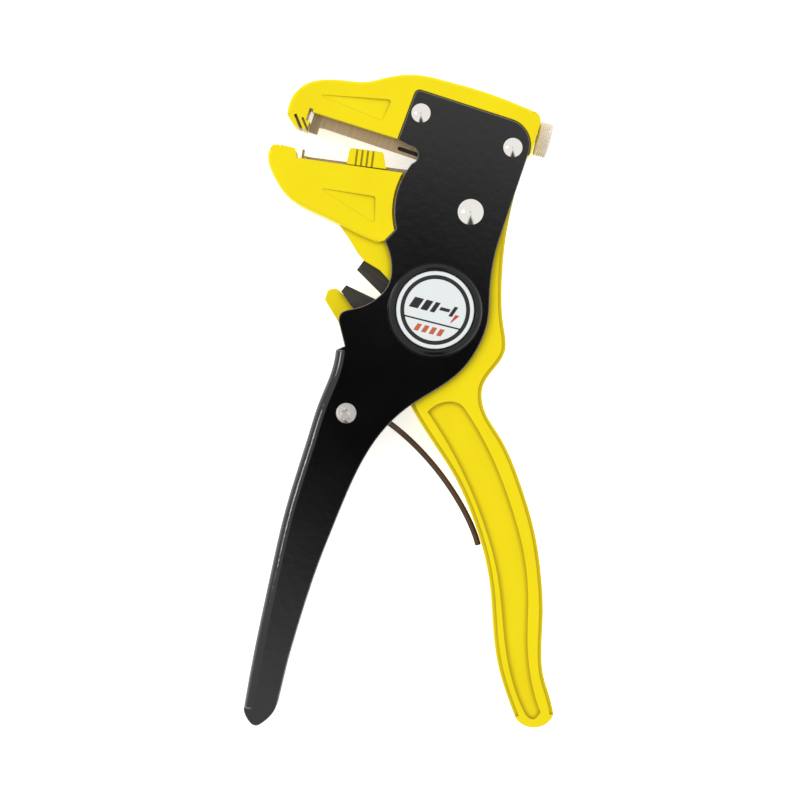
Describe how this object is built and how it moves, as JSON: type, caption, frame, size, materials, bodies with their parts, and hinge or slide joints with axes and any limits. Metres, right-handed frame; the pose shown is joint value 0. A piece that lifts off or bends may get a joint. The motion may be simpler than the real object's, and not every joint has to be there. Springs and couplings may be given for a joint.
{
  "type": "wire stripper",
  "caption": "Duckbill automatic wire stripper: squeezing the sprung handle grips the wire in the nose, then draws the stripping blades back; side cutter and sliding length stop.",
  "frame": {"origin": "centre of the bounding box, on the face of the rear cheek that the tool lies on", "axes": "+X from the jaw noses towards the adjusting screw, +Y from the handle ends to the jaws, +Z out of the front cheek"},
  "size_m": [0.0842, 0.1766, 0.0164],
  "materials": {
    "casting_yellow": "satin lemon enamel on a fine cast surface",
    "frame_black": "gloss black coat over folded steel",
    "cap_black": "gloss black moulding",
    "disc_white": "silver-white printed disc under clear lacquer",
    "rivet_bright": "bright plated",
    "rivet_dull": "peened, a little dull",
    "cutter_dark": "blued and ground",
    "bar_steel": "straw-tempered strip",
    "small_steel": "plain turned steel",
    "screw_nickel": "nickel plated, knurled",
    "spring_brown": "oil-tempered wire"
  },
  "bodies": {
    "frame": {"folded_frame": "frame_black", "upper_jaw": "casting_yellow", "upper_grip_pad": "bar_steel", "head_rivets": "rivet_bright", "main_pivot_rivet": "rivet_bright", "handle_pivot_pin": "rivet_bright", "emblem_cap": "cap_black", "emblem_disc": "disc_white", "spring_anchor_rivet": "rivet_dull", "handle_spring": "spring_brown", "screw_clip": "small_steel"},
    "handle": {"moving_handle": "casting_yellow", "handle_pivot_bush": "small_steel", "drive_pin": "small_steel", "lower_cutter_blade": "cutter_dark", "lower_cutter_rivets": "small_steel"},
    "jaw": {"lower_jaw": "casting_yellow", "jaw_pivot_bush": "small_steel", "jaw_cam_pin": "small_steel", "upper_cutter_blade": "cutter_dark", "upper_cutter_rivets": "small_steel"},
    "upper_carriage": {"upper_blade_bar": "bar_steel", "upper_stripping_blade": "bar_steel", "upper_blade_rivet": "small_steel"},
    "lower_carriage": {"lower_blade_bar": "bar_steel", "lower_stripping_blade": "bar_steel", "lower_blade_rivet": "small_steel"},
    "stop": {"length_stop": "casting_yellow"},
    "screw": {"adjusting_screw": "screw_nickel"},
    "block": {"adjuster_block": "small_steel"}
  },
  "joints": [
    {"name": "handle_squeeze", "type": "hinge", "parent": "frame", "child": "handle", "pos_m": [0.00962, 0.02455, 0.007], "axis": [0, 0, 1], "range_deg": [-22, 0], "stiffness_Nm_per_rad": 1.5, "springref_deg": 20.05, "deforming": ["handle_spring"]},
    {"name": "jaw_close", "type": "hinge", "parent": "frame", "child": "jaw", "pos_m": [0.01922, 0.05105, 0.007], "axis": [0, 0, 1], "range_deg": [-6, 0]},
    {"name": "upper_bar_slide", "type": "slide", "parent": "frame", "child": "upper_carriage", "axis": [0.9483, -0.3173, 0], "range_m": [0, 0.01546]},
    {"name": "lower_bar_slide", "type": "slide", "parent": "jaw", "child": "lower_carriage", "axis": [0.9914, -0.1305, 0], "range_m": [0, 0.01408]},
    {"name": "stop_slide", "type": "slide", "parent": "jaw", "child": "stop", "axis": [0.9914, -0.1305, 0], "range_m": [-0.011, 0.0025]},
    {"name": "screw_turn", "type": "hinge", "parent": "frame", "child": "screw", "pos_m": [0.03912, 0.07105, 0.007], "axis": [0.9659, -0.2588, 0], "range_deg": [-1400, 1400]},
    {"name": "block_slide", "type": "slide", "parent": "frame", "child": "block", "axis": [0.9659, -0.2588, 0], "range_m": [-0.00194, 0.00194]}
  ],
  "couplings": [
    {"joint": "jaw_close", "follows": "handle_squeeze", "ratio": 0.27271},
    {"joint": "upper_bar_slide", "follows": "handle_squeeze", "m_per_rad": -0.040252},
    {"joint": "lower_bar_slide", "follows": "handle_squeeze", "m_per_rad": -0.036653},
    {"joint": "screw_turn", "follows": "block_slide", "rad_per_m": -12566}
  ]
}
